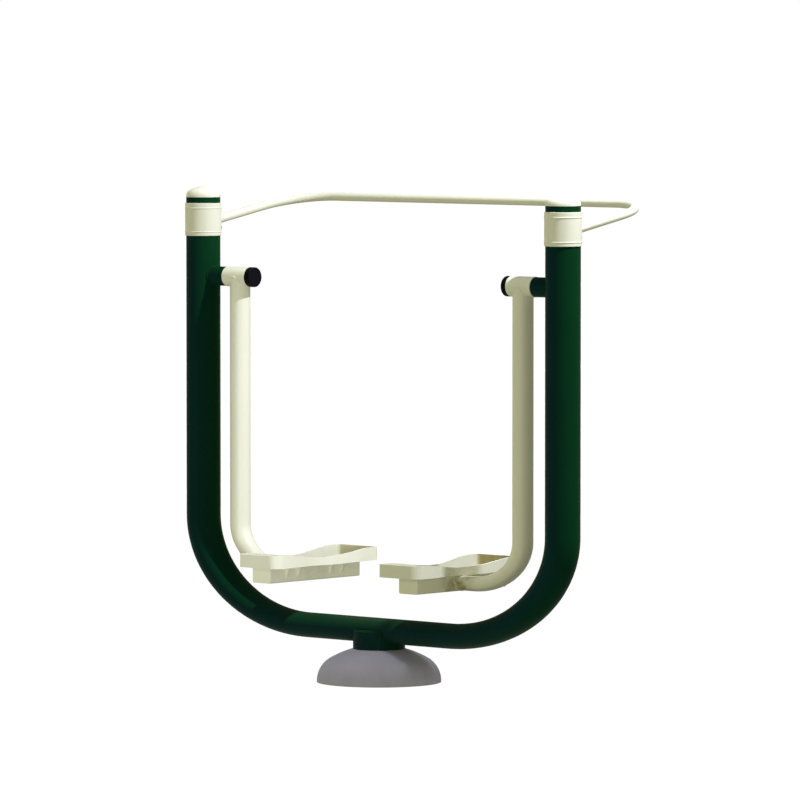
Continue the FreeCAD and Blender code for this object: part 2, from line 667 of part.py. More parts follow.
def tray_outline(inset):
    """The tray's outline in plan, drawn in by an inset, as a face on z = 0."""
    right, heel_right, toe_right = tray_side(inset, TRAY_HEEL_CORNER_RIGHT, TRAY_HEEL_RIGHT,
                                             TRAY_WAIST_RIGHT, TRAY_BALL_RIGHT, TRAY_TOE_RIGHT, 1)
    left, heel_left, toe_left = tray_side(inset, TRAY_HEEL_CORNER_LEFT, TRAY_HEEL_LEFT,
                                          TRAY_WAIST_LEFT, TRAY_BALL_LEFT, TRAY_TOE_LEFT, -1)
    right_r = TRAY_HEEL_CORNER_RIGHT - inset
    left_r = TRAY_HEEL_CORNER_LEFT - inset
    toe_r = TRAY_TOE_CORNER - inset
    heel_edges = [
        arc_edge(heel_right - X_AXIS * right_r, right_r, 0, -90, X_AXIS, Y_AXIS),
        Part.makeLine(heel_right + V(-right_r, -right_r, 0), heel_left + V(left_r, -left_r, 0)),
        arc_edge(heel_left + X_AXIS * left_r, left_r, -90, -180, X_AXIS, Y_AXIS),
    ]
    toe_edges = [
        arc_edge(toe_left + X_AXIS * toe_r, toe_r, 180, 90, X_AXIS, Y_AXIS),
        Part.makeLine(toe_left + V(toe_r, toe_r, 0), toe_right + V(-toe_r, toe_r, 0)),
        arc_edge(toe_right - X_AXIS * toe_r, toe_r, 90, 0, X_AXIS, Y_AXIS),
    ]
    wire = Part.Wire([right] + heel_edges + [left] + toe_edges)
    return Part.Face(wire)


def tray_envelope():
    """The space between the rim line, which dips at the arch of the foot, and the
    skirt's edge, which hangs below the floor up to the ball of the foot."""
    half = TRAY_LENGTH / 2
    points = [
        V(0, -half - TRAY_WALL, RIM_HEEL),
        V(0, -half + RIM_LEVEL, RIM_HEEL - 1.0),
        V(0, RIM_ARCH_Y, RIM_ARCH),
        V(0, TRAY_BALL_Y + RIM_LEVEL / 2, RIM_TOE - 1.0),
        V(0, half + TRAY_WALL, RIM_TOE),
    ]
    line = Part.BSplineCurve()
    line.interpolate(points, InitialTangent=V(0, 1, 0), FinalTangent=V(0, 1, 0))
    skirt = Part.BSplineCurve()
    skirt.interpolate([V(0, SKIRT_TOE_Y, 0), V(0, SKIRT_ARCH_Y, -TRAY_SKIRT)],
                      InitialTangent=V(0, -1, 0), FinalTangent=V(0, -1, 0))
    toe = V(0, half + TRAY_WALL, 0)
    heel = V(0, -half - TRAY_WALL, -TRAY_SKIRT)
    sides = [
        Part.makeLine(points[-1], toe),
        Part.makeLine(toe, V(0, SKIRT_TOE_Y, 0)),
        skirt.toShape(),
        Part.makeLine(V(0, SKIRT_ARCH_Y, -TRAY_SKIRT), heel),
        Part.makeLine(heel, points[0]),
    ]
    face = Part.Face(Part.Wire([line.toShape()] + sides))
    width = 4 * TRAY_BALL_RIGHT
    body = face.extrude(X_AXIS * width)
    body.translate(V(-width / 2, 0, 0))
    return body


def tray_ribs(beam_offset, sign):
    """Tapered ribs that steady the tray against one side of the beam."""
    ribs = []
    side = beam_offset + sign * BEAM_WIDTH / 2
    for y in RIB_PLACES:
        start = y - RIB_THICK / 2
        outline = Part.makePolygon([
            V(side, start, 0),
            V(side + sign * RIB_DEPTH, start, 0),
            V(side + sign * RIB_FOOT, start, -RIB_HEIGHT),
            V(side, start, -RIB_HEIGHT),
            V(side, start, 0),
        ])
        rib = Part.Face(outline).extrude(V(0, RIB_THICK, 0))
        slanted = [edge for edge in rib.Edges
                   if edge.BoundBox.ZLength > RIB_HEIGHT / 2 and edge.BoundBox.XLength > RIB_ROUND]
        ribs.append(rib.makeFillet(RIB_ROUND, slanted))
    return ribs


def tread_bars():
    """Low cross bars on the tray floor that grip the shoe."""
    bars = []
    for index in range(TREAD_COUNT):
        y = (index - (TREAD_COUNT - 1) / 2) * TREAD_PITCH
        bars.append(Part.makeBox(TREAD_LENGTH, TREAD_WIDTH, TREAD_RISE,
                                 V(-TREAD_LENGTH / 2, y - TREAD_WIDTH / 2, TRAY_FLOOR)))
    return bars


def foot_tray(side):
    """Tray casting on the beam of one side: -1 for the left, 1 for the right.
    Its ribs are on the inner side of the beam, away from the leg."""
    beam_offset = side * (BEAM_X - TRAY_X)
    height = RIM_TOE + TRAY_WALL
    tray = tray_outline(0.0).extrude(V(0, 0, height + TRAY_SKIRT))
    tray.translate(V(0, 0, -TRAY_SKIRT))
    inside = tray_outline(TRAY_WALL)
    hollow = inside.extrude(V(0, 0, height))
    hollow.translate(V(0, 0, TRAY_FLOOR))
    tray = tray.cut(hollow).cut(inside.extrude(V(0, 0, -TRAY_SKIRT))).common(tray_envelope())
    for bar in tread_bars():
        tray = tray.fuse(bar)
    for rib in tray_ribs(beam_offset, -side):
        tray = tray.fuse(rib)
    for y in TRAY_SCREW_PLACES:
        tray = tray.cut(tray_screw_body(beam_offset, y))
    tray = tray.removeSplitter()
    tray.translate(V(side * TRAY_X, 0, BEAM_TOP_Z))
    return tray


def tray_screw_body(x, y):
    """Countersunk screw with its flat head level with the tread bars."""
    head_rise = (TRAY_SCREW_HEAD - TRAY_SCREW) / 2
    top = TRAY_FLOOR + TREAD_RISE
    shank = Part.makeCylinder(TRAY_SCREW / 2, TRAY_SCREW_LENGTH, V(x, y, top - TRAY_SCREW_LENGTH))
    head = Part.makeCone(TRAY_SCREW / 2, TRAY_SCREW_HEAD / 2, head_rise, V(x, y, top - head_rise))
    return shank.fuse(head).removeSplitter()


def tray_screws():
    screws = []
    for y in TRAY_SCREW_PLACES:
        screw = tray_screw_body(BEAM_X, y)
        socket = hexagon_bar(SCREW_SOCKET, SCREW_SOCKET_DEPTH)
        socket.translate(V(BEAM_X, y, TRAY_FLOOR + TREAD_RISE - SCREW_SOCKET_DEPTH))
        screws.append(screw.cut(socket))
    group = Part.makeCompound(screws)
    group.translate(V(0, 0, BEAM_TOP_Z))
    return group


def rivet_nuts():
    """Rivet nuts in the top wall of the beam, under the tray screws."""
    nuts = []
    for y in TRAY_SCREW_PLACES:
        nuts.append(ring(RIVET_NUT_OD / 2, TRAY_SCREW / 2, RIVET_NUT_LENGTH,
                         V(BEAM_X, y, BEAM_TOP_Z - RIVET_NUT_LENGTH), Z_AXIS))
    return Part.makeCompound(nuts)


def build():
    """Every piece of the air walker, by the name of its node."""
    frame_outline = frame_bar(POST_RADIUS)
    cover_front, cover_rear = base_cover_halves()
    nodes = {
        "u_frame": u_frame(),
        "base_neck": base_neck(frame_outline),
        "neck_ledges": neck_ledges(frame_outline),
        "base_flange": base_flange(),
        "base_gussets": base_gussets(),
        "base_cover_front": cover_front,
        "base_cover_rear": cover_rear,
        "handrail": handrail(),
        "foot_tray_left": foot_tray(-1),
        "foot_tray_right": foot_tray(1),
    }
    paired = {
        "post_collar": collar(),
        "collar_screws": collar_screws(),
        "post_cap": post_cap(),
        "pivot_stub": pivot_stub(),
        "pivot_axle": pivot_axle(),
        "bearing_inner_rings": bearing_inner_rings(),
        "bearing_spacer": bearing_spacer(),
        "axle_washer": axle_washer(),
        "axle_nut": axle_nut(),
        "stop_key": stop_key(),
        "hub": hub(),
        "leg_tube": leg_tube(),
        "bearing_outer_rings": bearing_outer_rings(),
        "bearing_balls": bearing_balls(),
        "dust_seal": dust_seal(),
        "stop_ring": stop_ring(),
        "hub_plug": hub_plug(),
        "pedal_beam": pedal_beam(),
        "beam_end_plugs": beam_end_plugs(),
        "tray_screws": tray_screws(),
        "rivet_nuts": rivet_nuts(),
    }
    for name, shape in paired.items():
        nodes[name + "_right"] = shape
        nodes[name + "_left"] = mirrored(shape)
    return nodes


def main():
    os.makedirs("parts", exist_ok=True)
    for name, shape in sorted(build().items()):
        shape.exportStep("parts/" + name + ".step")
        print(name, "solids", len(shape.Solids), "volume", round(shape.Volume))


main()
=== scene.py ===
# %% [markdown]
# # An outdoor air walker
# The machine is a bent steel tube on a round foot, with a handrail behind and two foot
# trays that swing on legs hung from the posts. Its solids come ready made as a frame, so
# this lesson loads them, gives them their finishes, and adds the weld beads that a
# painted steel machine shows at its joints.

# %% Load the frame
import bpy
import bmesh
import json
import math
from mathutils import Matrix, Vector


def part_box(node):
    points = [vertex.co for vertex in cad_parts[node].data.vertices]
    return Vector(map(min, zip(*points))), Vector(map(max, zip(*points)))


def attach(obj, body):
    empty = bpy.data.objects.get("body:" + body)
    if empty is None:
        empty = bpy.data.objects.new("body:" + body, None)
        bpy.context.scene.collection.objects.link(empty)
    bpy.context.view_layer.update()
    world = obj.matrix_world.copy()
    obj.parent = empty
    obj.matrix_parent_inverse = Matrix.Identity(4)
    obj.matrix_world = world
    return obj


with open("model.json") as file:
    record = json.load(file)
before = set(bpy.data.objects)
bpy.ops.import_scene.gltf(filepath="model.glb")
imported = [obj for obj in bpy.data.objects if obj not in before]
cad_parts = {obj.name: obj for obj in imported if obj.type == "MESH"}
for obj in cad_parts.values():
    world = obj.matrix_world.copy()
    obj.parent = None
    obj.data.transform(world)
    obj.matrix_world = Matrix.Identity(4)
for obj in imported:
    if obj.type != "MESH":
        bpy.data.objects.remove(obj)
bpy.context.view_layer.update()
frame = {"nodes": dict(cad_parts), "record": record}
nodes = frame["nodes"]

# %% [markdown]
# ## The camera
# A long lens from the user's right and a little above keeps the posts parallel. Its
# length is given in pixels of an 800 pixel picture, which ties it to sizes measured there.
# The camera looks at a point near the middle of the machine, moved a few centimetres so
# that the machine sits where it should in the picture.

# %% Camera
AZIMUTH = math.radians(41.9)
ELEVATION = math.radians(3.23)
DISTANCE = 17.52
LENS_PIXELS = 6891.0
PICTURE_PIXELS = 800.0
SENSOR = 36.0
LOOK_HEIGHT = 0.728
SHIFT_RIGHT = 0.0534
SHIFT_DOWN = 0.0092

to_right = Vector((math.cos(AZIMUTH), math.sin(AZIMUTH), 0))
to_camera = Vector((math.sin(AZIMUTH) * math.cos(ELEVATION),
                    -math.cos(AZIMUTH) * math.cos(ELEVATION), math.sin(ELEVATION)))
to_top = to_camera.cross(to_right)
aim = Vector((0, 0, LOOK_HEIGHT)) + to_right * SHIFT_RIGHT - to_top * SHIFT_DOWN

lens = bpy.data.cameras.new("camera")
lens.sensor_width = SENSOR
lens.lens = SENSOR * LENS_PIXELS / PICTURE_PIXELS
lens.clip_end = 100.0
camera = bpy.data.objects.new("camera", lens)
camera.matrix_world = Matrix((
    (to_right.x, to_top.x, to_camera.x, aim.x + to_camera.x * DISTANCE),
    (to_right.y, to_top.y, to_camera.y, aim.y + to_camera.y * DISTANCE),
    (to_right.z, to_top.z, to_camera.z, aim.z + to_camera.z * DISTANCE),
    (0, 0, 0, 1)))
bpy.context.scene.collection.objects.link(camera)
bpy.context.scene.camera = camera
print("lens", round(lens.lens, 1), "mm")

# %% [markdown]
# ## Shared effects
# Paint, plastic and castings are never one flat colour. Three effects come back in
# several finishes, so each is a node group: the fine ripple of a coat or a mould, a slow
# drift in tone, and dust that settles low down. A group gives out only a mask or a
# height, and each material decides what to do with it.

# %% Node group helper
def new_group(name, inputs):
    """A node group with number inputs, a coordinate input and one number output."""
    group = bpy.data.node_groups.new(name, "ShaderNodeTree")
    group.interface.new_socket("Vector", in_out="INPUT", socket_type="NodeSocketVector")
    for label, value in inputs.items():
        socket = group.interface.new_socket(label, in_out="INPUT", socket_type="NodeSocketFloat")
        socket.default_value = value
    group.interface.new_socket("Value", in_out="OUTPUT", socket_type="NodeSocketFloat")
    start = group.nodes.new("NodeGroupInput")
    end = group.nodes.new("NodeGroupOutput")
    return group, start, end


def add_math(tree, operation, first, second, clamp=False):
    """A Math node whose inputs are sockets or plain numbers."""
    node = tree.nodes.new("ShaderNodeMath")
    node.operation = operation
    node.use_clamp = clamp
    for slot, value in zip(node.inputs, (first, second)):
        if isinstance(value, (int, float)):
            slot.default_value = value
        else:
            tree.links.new(value, slot)
    return node.outputs[0]


def split_vector(tree, vector):
    """The X, Y and Z outputs of a vector."""
    node = tree.nodes.new("ShaderNodeSeparateXYZ")
    tree.links.new(vector, node.inputs[0])
    return node.outputs


# %% Ripple of sprayed paint
ripple_group, start, end = new_group("paint ripple", {"Scale": 300.0, "Grit": 0.2})
coarse = ripple_group.nodes.new("ShaderNodeTexNoise")
coarse.inputs["Detail"].default_value = 1.0
fine = ripple_group.nodes.new("ShaderNodeTexNoise")
fine.inputs["Detail"].default_value = 2.0
for texture in (coarse, fine):
    ripple_group.links.new(start.outputs["Vector"], texture.inputs["Vector"])
ripple_group.links.new(start.outputs["Scale"], coarse.inputs["Scale"])
finer = add_math(ripple_group, "MULTIPLY", start.outputs["Scale"], 6.0)
ripple_group.links.new(finer, fine.inputs["Scale"])
grit = add_math(ripple_group, "MULTIPLY", fine.outputs["Fac"], start.outputs["Grit"])
height = add_math(ripple_group, "ADD", coarse.outputs["Fac"], grit)
ripple_group.links.new(height, end.inputs["Value"])
print("group", ripple_group.name)

# %% Slow drift in tone
drift_group, start, end = new_group("tone drift", {"Scale": 6.0, "Contrast": 1.6})
cloud = drift_group.nodes.new("ShaderNodeTexNoise")
cloud.inputs["Detail"].default_value = 4.0
cloud.inputs["Roughness"].default_value = 0.6
drift_group.links.new(start.outputs["Vector"], cloud.inputs["Vector"])
drift_group.links.new(start.outputs["Scale"], cloud.inputs["Scale"])
centred = add_math(drift_group, "SUBTRACT", cloud.outputs["Fac"], 0.5)
stretched = add_math(drift_group, "MULTIPLY", centred, start.outputs["Contrast"])
tone = add_math(drift_group, "ADD", stretched, 0.5, clamp=True)
drift_group.links.new(tone, end.inputs["Value"])
print("group", drift_group.name)

# %% Dust that settles low down
dust_group, start, end = new_group("low dust", {"Top": 0.25, "Amount": 0.5})
height = split_vector(dust_group, start.outputs["Vector"])["Z"]
share = add_math(dust_group, "DIVIDE", height, start.outputs["Top"], clamp=True)
below = add_math(dust_group, "SUBTRACT", 1.0, share, clamp=True)
speckle = dust_group.nodes.new("ShaderNodeTexNoise")
speckle.inputs["Scale"].default_value = 45.0
speckle.inputs["Detail"].default_value = 5.0
dust_group.links.new(start.outputs["Vector"], speckle.inputs["Vector"])
patchy = add_math(dust_group, "MULTIPLY", below, speckle.outputs["Fac"])
dusty = add_math(dust_group, "MULTIPLY", patchy, start.outputs["Amount"], clamp=True)
dust_group.links.new(dusty, end.inputs["Value"])
print("group", dust_group.name)

# %% [markdown]
# ## Building a material
# Every finish is one Principled shader. What is the same all over a surface is typed
# straight into the shader's own socket, and what changes over the surface comes from the
# groups through a colour mix, a roughness range or a bump.

# %% Material helpers
def new_material(name, **constants):
    """A material with one Principled shader, and its constants set on the sockets."""
    material = bpy.data.materials.new(name)
    material.use_nodes = True
    shader = material.node_tree.nodes["Principled BSDF"]
    for label, value in constants.items():
        shader.inputs[label.replace("_", " ")].default_value = value
    coordinates = material.node_tree.nodes.new("ShaderNodeTexCoord").outputs["Object"]
    return material, shader, coordinates


def add_effect(material, coordinates, group, **values):
    """Place a shared effect in a material with its own values."""
    node = material.node_tree.nodes.new("ShaderNodeGroup")
    node.node_tree = group
    material.node_tree.links.new(coordinates, node.inputs["Vector"])
    for label, value in values.items():
        node.inputs[label].default_value = value
    return node.outputs["Value"]


def mix_colours(owner, mask, first, second):
    """A mix of two colours or sockets, by a mask. The owner is a material or the world."""
    node = owner.node_tree.nodes.new("ShaderNodeMix")
    node.data_type = "RGBA"
    owner.node_tree.links.new(mask, node.inputs["Factor"])
    for socket, value in ((node.inputs[6], first), (node.inputs[7], second)):
        if isinstance(value, tuple):
            socket.default_value = (*value, 1.0)
        else:
            owner.node_tree.links.new(value, socket)
    return node.outputs[2]


def scale_vector(material, vector, scale):
    """Coordinates scaled along each axis, which stretches a texture."""
    node = material.node_tree.nodes.new("ShaderNodeMapping")
    node.inputs["Scale"].default_value = scale
    material.node_tree.links.new(vector, node.inputs["Vector"])
    return node.outputs["Vector"]


def set_colour(material, shader, colour):
    """Give the shader its colour from a socket."""
    material.node_tree.links.new(colour, shader.inputs["Base Color"])


def set_roughness(material, shader, mask, low, high):
    """Roughness that runs from low to high with a mask."""
    spread = add_math(material.node_tree, "MULTIPLY", mask, high - low)
    total = add_math(material.node_tree, "ADD", spread, low)
    material.node_tree.links.new(total, shader.inputs["Roughness"])


def set_bump(material, shader, height, distance):
    """A bump of this height in metres."""
    bump = material.node_tree.nodes.new("ShaderNodeBump")
    bump.inputs["Distance"].default_value = distance
    material.node_tree.links.new(height, bump.inputs["Height"])
    material.node_tree.links.new(bump.outputs["Normal"], shader.inputs["Normal"])


# %% [markdown]
# ## The paints
# The frame is sprayed dark green and the handrail, collars, hubs and legs cream. Both
# are powder coats: smooth, with a faint ripple a few millimetres wide and a satin shine.
# Near the ground the green collects a little dust. The cream carries painted shade, with some
# grime in it, where each leg meets its beam under the tray. That mask is the distance from one
# point, and taking the coordinates without their signs makes the same point serve both legs.

# %% Green powder coat
green_paint, shader, where = new_material("green powder coat", Specular_IOR_Level=0.05,
                                         Specular_Tint=(0.1, 0.4, 1.0, 1.0))
tone = add_effect(green_paint, where, drift_group, Scale=7.0, Contrast=1.8)
dust = add_effect(green_paint, where, dust_group, Top=0.2, Amount=0.12)
paint = mix_colours(green_paint, tone, (0.0035, 0.046, 0.010), (0.0045, 0.054, 0.012))
dusted = mix_colours(green_paint, dust, paint, (0.12, 0.115, 0.10))
set_colour(green_paint, shader, dusted)
set_roughness(green_paint, shader, tone, 0.30, 0.38)
ripple = add_effect(green_paint, where, ripple_group, Scale=260.0, Grit=0.15)
set_bump(green_paint, shader, ripple, 0.00012)
print("made", green_paint.name)

# %% Cream powder coat
SHADE_GRIME_REACH = 0.07
SHADE_GRIME_STRENGTH = 1.6

cream_paint, shader, where = new_material("cream powder coat", Specular_IOR_Level=0.35)
tone = add_effect(cream_paint, where, drift_group, Scale=5.0, Contrast=1.5)
paint = mix_colours(cream_paint, tone, (0.83, 0.83, 0.62), (0.88, 0.88, 0.67))

# Painted shade and grime: a dark olive mixed into the cream near where each leg meets its beam,
# under the tray's overhang.
beam_low, beam_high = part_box("pedal_beam_right")
shade_grime_centre = (beam_high.x, 0.02, beam_low.z + 0.02)
tree = cream_paint.node_tree
mirrored = tree.nodes.new("ShaderNodeVectorMath")
mirrored.operation = "ABSOLUTE"
tree.links.new(where, mirrored.inputs[0])
from_weld = tree.nodes.new("ShaderNodeVectorMath")
from_weld.operation = "DISTANCE"
from_weld.inputs[1].default_value = shade_grime_centre
tree.links.new(mirrored.outputs[0], from_weld.inputs[0])
away = add_math(tree, "DIVIDE", from_weld.outputs["Value"], SHADE_GRIME_REACH, clamp=True)
near = add_math(tree, "SUBTRACT", 1.0, away)
shade_grime_smear = add_effect(cream_paint, where, drift_group, Scale=45.0, Contrast=2.5)
shade_and_grime = add_math(tree, "MULTIPLY", near, shade_grime_smear)
shade_and_grime = add_math(tree, "MULTIPLY", shade_and_grime, SHADE_GRIME_STRENGTH, clamp=True)
shaded_and_grimed = mix_colours(cream_paint, shade_and_grime, paint, (0.27, 0.225, 0.05))
set_colour(cream_paint, shader, shaded_and_grimed)
set_roughness(cream_paint, shader, tone, 0.34, 0.42)
ripple = add_effect(cream_paint, where, ripple_group, Scale=280.0, Grit=0.15)
set_bump(cream_paint, shader, ripple, 0.0001)
print("made", cream_paint.name)

# %% [markdown]
# ## Castings and plastics
# The foot trays are castings under the same cream, so they are a little grainier. Their floors
# carry painted shade in patches, which also dims the light bounced inside the tray, and the toe's
# inner wall carries a brown painted shade, more on the right tray than on the left. Both masks are
# found from where a point lies and which way it faces, in the tray's own coordinates, so they stay
# in place when the tray swings. The caps and end plugs are moulded, which shows as an even,
# slightly softer shine. The black plugs and the grey dome cover are moulded too.

# %% Cream casting of the trays
TREAD_TOP = 0.008
TOE_LENGTH = 0.06
LEFT_TOE_SHADE = 0.45
RIGHT_TOE_SHADE = 0.95

tray_paint, shader, where = new_material("cream coated casting", Specular_IOR_Level=0.3)
tone = add_effect(tray_paint, where, drift_group, Scale=14.0, Contrast=2.0)
paint = mix_colours(tray_paint, tone, (0.81, 0.81, 0.60), (0.87, 0.87, 0.66))

tree = tray_paint.node_tree
blotch_noise = tree.nodes.new("ShaderNodeTexNoise")
blotch_noise.inputs["Scale"].default_value = 3.0
blotch_noise.inputs["Detail"].default_value = 6.0
tree.links.new(scale_vector(tray_paint, where, (14.0, 8.0, 1.0)), blotch_noise.inputs["Vector"])
blotches = add_math(tree, "MULTIPLY", blotch_noise.outputs["Fac"], 0.6)
blotches = add_math(tree, "ADD", blotches, 0.5)
facing = split_vector(tree, where.node.outputs["Normal"])
position = split_vector(tree, where)

# Painted shade: the tray floor's upward faces are darkened in patches, which also dims the light
# bounced inside the tray.
on_floor = add_math(tree, "LESS_THAN", position["Z"], beam_high.z + TREAD_TOP)
floor_shade = add_math(tree, "MULTIPLY", blotches, facing["Z"], clamp=True)
floor_shade = add_math(tree, "MULTIPLY", floor_shade, on_floor, clamp=True)
floor_shaded = mix_colours(tray_paint, floor_shade, paint, (0.13, 0.12, 0.085))

# Painted shade: the toe's inner wall, where it faces back towards the heel and away from the key,
# is darkened brown, more on the right tray than on the left.
toe_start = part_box("foot_tray_right")[1].y - TOE_LENGTH
at_toe = add_math(tree, "GREATER_THAN", position["Y"], toe_start)
above_floor = add_math(tree, "SUBTRACT", 1.0, on_floor)
toe_shade = add_math(tree, "MULTIPLY", facing["Y"], -1.0, clamp=True)
toe_shade = add_math(tree, "MULTIPLY", toe_shade, at_toe)
toe_shade = add_math(tree, "MULTIPLY", toe_shade, above_floor)
toe_shade = add_math(tree, "MULTIPLY", toe_shade, blotches, clamp=True)
on_right = add_math(tree, "GREATER_THAN", position["X"], 0.0)
share = add_math(tree, "MULTIPLY", on_right, RIGHT_TOE_SHADE - LEFT_TOE_SHADE)
share = add_math(tree, "ADD", share, LEFT_TOE_SHADE)
toe_shade = add_math(tree, "MULTIPLY", toe_shade, share)
toe_shaded = mix_colours(tray_paint, toe_shade, floor_shaded, (0.42, 0.33, 0.06))
set_colour(tray_paint, shader, toe_shaded)
set_roughness(tray_paint, shader, tone, 0.42, 0.52)
ripple = add_effect(tray_paint, where, ripple_group, Scale=420.0, Grit=0.5)
set_bump(tray_paint, shader, ripple, 0.00018)
print("made", tray_paint.name)

# %% Moulded plastics
def moulded_plastic(name, dark, light, roughness, grain, depth):
    """Plastic with a fine mould grain and a little drift in tone."""
    material, shader, where = new_material(name, Specular_IOR_Level=0.12)
    tone = add_effect(material, where, drift_group, Scale=22.0, Contrast=2.2)
    colour = mix_colours(material, tone, dark, light)
    set_colour(material, shader, colour)
    set_roughness(material, shader, tone, *roughness)
    height = add_effect(material, where, ripple_group, Scale=grain, Grit=0.4)
    set_bump(material, shader, height, depth)
    return material


cream_plastic = moulded_plastic("cream moulded plastic", (0.84, 0.84, 0.63), (0.88, 0.88, 0.67),
                                roughness=(0.36, 0.42), grain=500.0, depth=0.00005)
black_plastic = moulded_plastic("black moulded plastic", (0.003, 0.003, 0.005),
                                (0.005, 0.005, 0.008),
                                roughness=(0.50, 0.60), grain=900.0, depth=0.00008)
print("made", cream_plastic.name, "and", black_plastic.name)

# %% Grey dome cover
grey_plastic, shader, where = new_material("grey dome cover", Specular_IOR_Level=0.12)
tall = scale_vector(grey_plastic, where, (1.0, 1.0, 0.45))
tone = add_effect(grey_plastic, tall, drift_group, Scale=20.0, Contrast=2.2)
dust = add_effect(grey_plastic, where, dust_group, Top=0.07, Amount=0.35)
paint = mix_colours(grey_plastic, tone, (0.415, 0.405, 0.505), (0.495, 0.485, 0.595))
dusted = mix_colours(grey_plastic, dust, paint, (0.34, 0.33, 0.37))
set_colour(grey_plastic, shader, dusted)
set_roughness(grey_plastic, shader, tone, 0.55, 0.65)
grain = add_effect(grey_plastic, where, ripple_group, Scale=650.0, Grit=0.5)
set_bump(grey_plastic, shader, grain, 0.0001)
print("made", grey_plastic.name)

# %% [markdown]
# ## Metals and the seal
# Screws, nuts and washers are zinc plated, with the faint blue and yellow cloud of
# plating. The bearings and axles are turned and ground bright. The seal is rubber.

# %% Zinc, bright steel and rubber
zinc_steel, shader, where = new_material("zinc plating", Metallic=1.0)
tone = add_effect(zinc_steel, where, drift_group, Scale=90.0, Contrast=2.4)
plating = mix_colours(zinc_steel, tone, (0.60, 0.60, 0.56), (0.66, 0.67, 0.69))
set_colour(zinc_steel, shader, plating)
set_roughness(zinc_steel, shader, tone, 0.28, 0.42)
grain = add_effect(zinc_steel, where, ripple_group, Scale=1500.0, Grit=0.6)
set_bump(zinc_steel, shader, grain, 0.00002)

bright_steel, shader, where = new_material("ground steel", Metallic=1.0)
tone = add_effect(bright_steel, where, drift_group, Scale=60.0, Contrast=1.5)
metal = mix_colours(bright_steel, tone, (0.60, 0.60, 0.60), (0.70, 0.70, 0.69))
set_colour(bright_steel, shader, metal)
set_roughness(bright_steel, shader, tone, 0.16, 0.24)
turning = bright_steel.node_tree.nodes.new("ShaderNodeTexWave")
turning.inputs["Scale"].default_value = 900.0
bright_steel.node_tree.links.new(where, turning.inputs["Vector"])
set_bump(bright_steel, shader, turning.outputs["Fac"], 0.00001)

seal_rubber = moulded_plastic("seal rubber", (0.016, 0.016, 0.016), (0.024, 0.023, 0.022),
                              roughness=(0.6, 0.75), grain=1200.0, depth=0.00004)
print("made", zinc_steel.name, bright_steel.name, seal_rubber.name)

# %% [markdown]
# ## Finishes onto the pieces
# The record says which slot each solid takes its finish from, so one table turns slots
# into materials and the loop can't forget a piece.

# %% Assign the finishes
FINISHES = {
    "green_paint": green_paint, "cream_paint": cream_paint, "tray_paint": tray_paint,
    "cream_plastic": cream_plastic, "black_plastic": black_plastic,
    "grey_plastic": grey_plastic, "seal_rubber": seal_rubber,
    "zinc_steel": zinc_steel, "bright_steel": bright_steel,
}
for entry in frame["record"]["subparts"]:
    piece = nodes[entry["node"]]
    piece.data.materials.clear()
    piece.data.materials.append(FINISHES[entry["material_slot"]])
print("finished", len(nodes), "solids")

# %% [markdown]
# ## Weld beads
# Where tube meets tube a welder leaves a bead, and the paint only softens it. A bead is
# a small round section spun into a ring, which `bmesh.ops.spin` does well. The ring has
# radius 1, so how far a point lies off it is its place in the section. With that, each
# ring is laid onto the line where the two tubes meet. The section swells and shrinks a
# little along it, because a bead is built from overlapping drops.

# %% Bead helper
FRAME_BEAD = 0.0026
LEG_BEAD = 0.0016
RAIL_BEAD = 0.0018
SECTION_POINTS = 10
RINGS_PER_DROP = 8
THIN_PLACE = 0.93
DROP_SWELL = 0.12
X_AXIS, Y_AXIS, Z_AXIS = Vector((1, 0, 0)), Vector((0, 1, 0)), Vector((0, 0, 1))
beads = []


def weld_bead(name, place, radius, drops, body, material):
    """A closed bead. place(turn) gives the line's point and the two section directions."""
    bm = bmesh.new()
    section = bmesh.ops.create_circle(bm, segments=SECTION_POINTS, radius=radius)["verts"]
    upright = Matrix.Rotation(math.radians(90), 4, "X")
    bmesh.ops.transform(bm, matrix=Matrix.Translation((1, 0, 0)) @ upright, verts=section)
    bmesh.ops.spin(bm, geom=bm.verts[:] + bm.edges[:], cent=(0, 0, 0), axis=(0, 0, 1),
                   angle=math.tau, steps=RINGS_PER_DROP * drops, use_merge=True)
    bmesh.ops.remove_doubles(bm, verts=bm.verts, dist=1e-6)
    for vert in bm.verts:
        turn = math.atan2(vert.co.y, vert.co.x)
        swell = THIN_PLACE + DROP_SWELL * abs(math.sin(drops * turn / 2))
        out = (math.hypot(vert.co.x, vert.co.y) - 1) * swell
        rise = vert.co.z * swell
        point, outward, upward = place(turn)
        vert.co = point + outward * out + upward * rise
    bmesh.ops.recalc_face_normals(bm, faces=bm.faces)
    mesh = bpy.data.meshes.new(name)
    bm.to_mesh(mesh)
    bm.free()
    mesh.shade_smooth()
    mesh.materials.append(material)
    bead = bpy.data.objects.new(name, mesh)
    bpy.context.scene.collection.objects.link(bead)
    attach(bead, body)
    beads.append(bead)
    print(name, "faces", len(mesh.polygons))


# %% [markdown]
# The stub's bead runs round the stub and follows the curve of the post. Sizes come from
# the solids where a box gives them, so the beads stay on their seams. The others are
# named above each bead.

# %% Beads of the stubs on the posts
collar_low, collar_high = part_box("post_collar_right")
post_x = (collar_low.x + collar_high.x) / 2
stub_low, stub_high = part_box("pivot_stub_right")
stub_radius = (stub_high.y - stub_low.y) / 2
pivot_z = (stub_high.z + stub_low.z) / 2
post_radius = (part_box("post_cap_right")[1].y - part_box("post_cap_right")[0].y) / 2


def stub_line(side):
    """The line of a stub's bead, as a place function for one side."""
    def place(turn):
        outward = Y_AXIS * math.cos(turn) + Z_AXIS * math.sin(turn)
        y = stub_radius * math.cos(turn)
        x = post_x - math.sqrt(post_radius ** 2 - y ** 2)
        return Vector((side * x, y, pivot_z + stub_radius * math.sin(turn))), outward, X_AXIS
    return place


